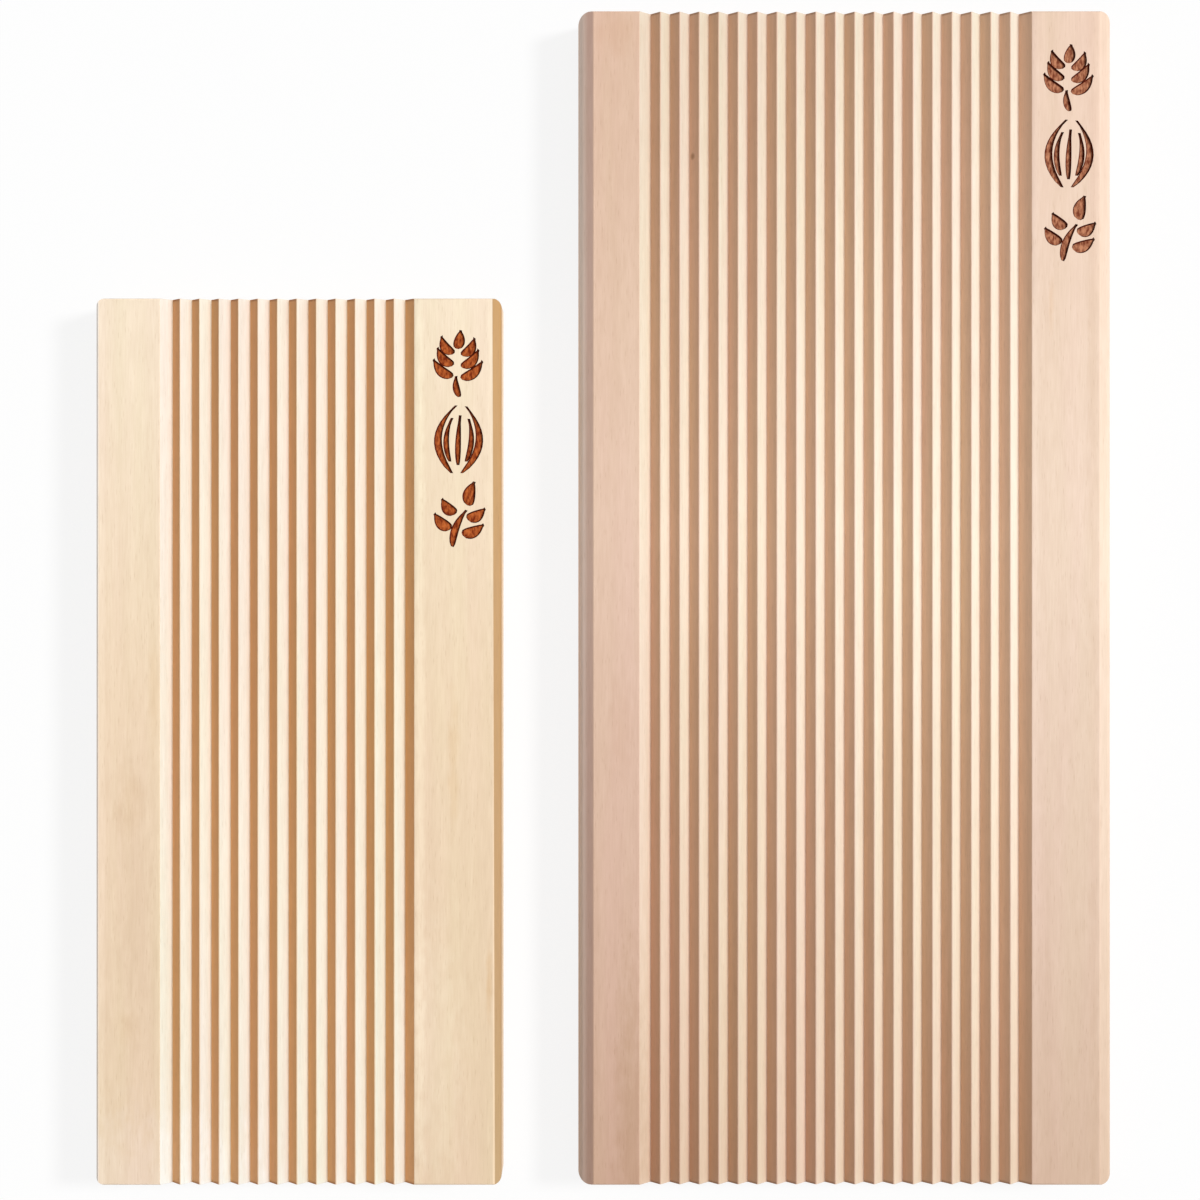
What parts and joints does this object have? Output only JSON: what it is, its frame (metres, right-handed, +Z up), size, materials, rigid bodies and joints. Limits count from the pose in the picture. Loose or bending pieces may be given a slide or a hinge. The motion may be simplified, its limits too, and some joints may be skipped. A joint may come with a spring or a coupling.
{
  "type": "gnocchi board set",
  "caption": "Set of rectangular wooden pasta boards in a large and a small size, each with full-length V grooves between plain margins.",
  "frame": {"origin": "centre of the set's bounding box, on the plane of both undersides", "axes": "+Y along the grooves towards the picture's top, +X towards the large board, +Z up out of the grooved faces"},
  "size_m": [0.2512, 0.29, 0.015],
  "materials": {
    "pink_beech": "bare planed beech with a pinkish tone",
    "pale_beech": "bare planed beech with a pale yellow tone"
  },
  "bodies": {
    "large_board": {"large_board": "pink_beech"},
    "small_board": {"small_board": "pale_beech"}
  },
  "joints": [
    {"name": "small_board_lift", "type": "slide", "parent": "large_board", "child": "small_board", "axis": [0, 0, 1], "range_m": [0, 0.1]}
  ]
}
